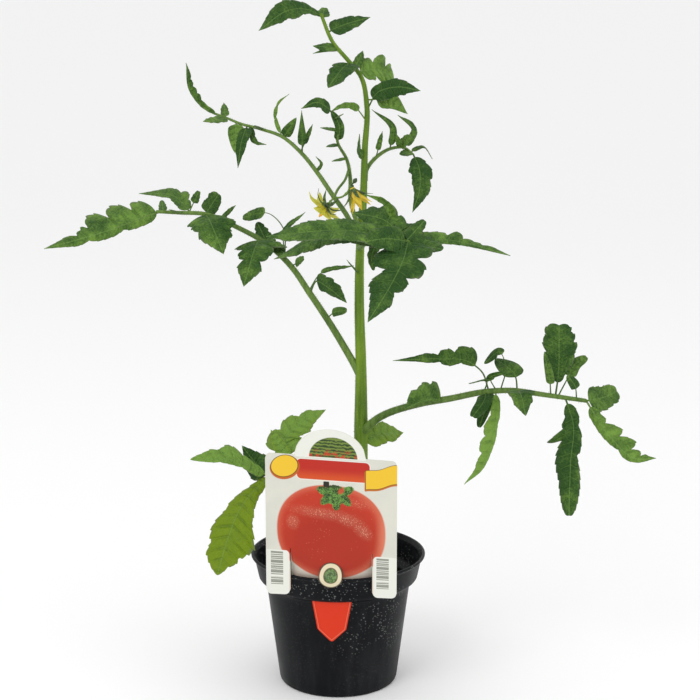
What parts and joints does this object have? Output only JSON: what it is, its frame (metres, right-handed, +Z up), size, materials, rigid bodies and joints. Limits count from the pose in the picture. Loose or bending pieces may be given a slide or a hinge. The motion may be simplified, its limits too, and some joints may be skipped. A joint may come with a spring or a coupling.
{
  "type": "potted tomato plant",
  "caption": "Young tomato plant in a round nursery pot: upright stem, lobed compound leaves, yellow flowers and a plant label pushed in at the front.",
  "frame": {"origin": "centre of the pot's underside, which is what the plant stands on", "axes": "+Z up, +Y to the back, +X to the right when the label faces the viewer"},
  "size_m": [0.3366, 0.1551, 0.386],
  "materials": {
    "pot": "thin black moulded plastic, semi-gloss, with dried water spots",
    "soil": null,
    "tag": null,
    "stem": null,
    "leaf": null,
    "sepal": "stands for green sepals with fine hairs",
    "petal": "stands for thin yellow petals",
    "stamen": "stands for the yellow cone of anthers"
  },
  "bodies": {
    "root": {"arch_left": "stem", "arch_left_leaflet_1": "leaf", "arch_left_leaflet_2": "leaf", "arch_right": "stem", "arch_right_leaflet_1": "leaf", "arch_right_leaflet_2": "leaf", "arch_right_leaflet_3": "leaf", "flower_hanging_calyx": "sepal", "flower_hanging_corolla": "petal", "flower_hanging_stamens": "stamen", "flower_open_calyx": "sepal", "flower_open_corolla": "petal", "flower_open_stamens": "stamen", "inner_shoot": "stem", "leaf_front": "stem", "leaf_front_leaflet_1": "leaf", "leaf_front_leaflet_2": "leaf", "leaf_front_leaflet_3": "leaf", "leaf_front_leaflet_4": "leaf", "leaf_front_leaflet_5": "leaf", "leaf_front_leaflet_6": "leaf", "leaf_front_leaflet_7": "leaf", "leaf_left": "stem", "leaf_left_leaflet_1": "leaf", "leaf_left_leaflet_2": "leaf", "leaf_left_leaflet_3": "leaf", "leaf_left_leaflet_4": "leaf", "leaf_left_leaflet_5": "leaf", "leaf_left_leaflet_6": "leaf", "leaf_low": "stem", "leaf_low_leaflet_1": "leaf", "leaf_low_leaflet_2": "leaf", "leaf_low_leaflet_3": "leaf", "leaf_low_leaflet_4": "leaf", "leaf_right": "stem", "leaf_right_leaflet_1": "leaf", "leaf_right_leaflet_10": "leaf", "leaf_right_leaflet_2": "leaf", "leaf_right_leaflet_3": "leaf", "leaf_right_leaflet_4": "leaf", "leaf_right_leaflet_5": "leaf", "leaf_right_leaflet_6": "leaf", "leaf_right_leaflet_7": "leaf", "leaf_right_leaflet_8": "leaf", "leaf_right_leaflet_9": "leaf", "main_stem": "stem", "main_stem_leaflet_1": "leaf", "main_stem_leaflet_2": "leaf", "main_stem_leaflet_3": "leaf", "main_stem_leaflet_4": "leaf", "main_stem_leaflet_5": "leaf", "main_stem_leaflet_6": "leaf", "pot": "pot", "soil": "soil", "tag": "tag", "truss": "stem"}
  },
  "joints": []
}
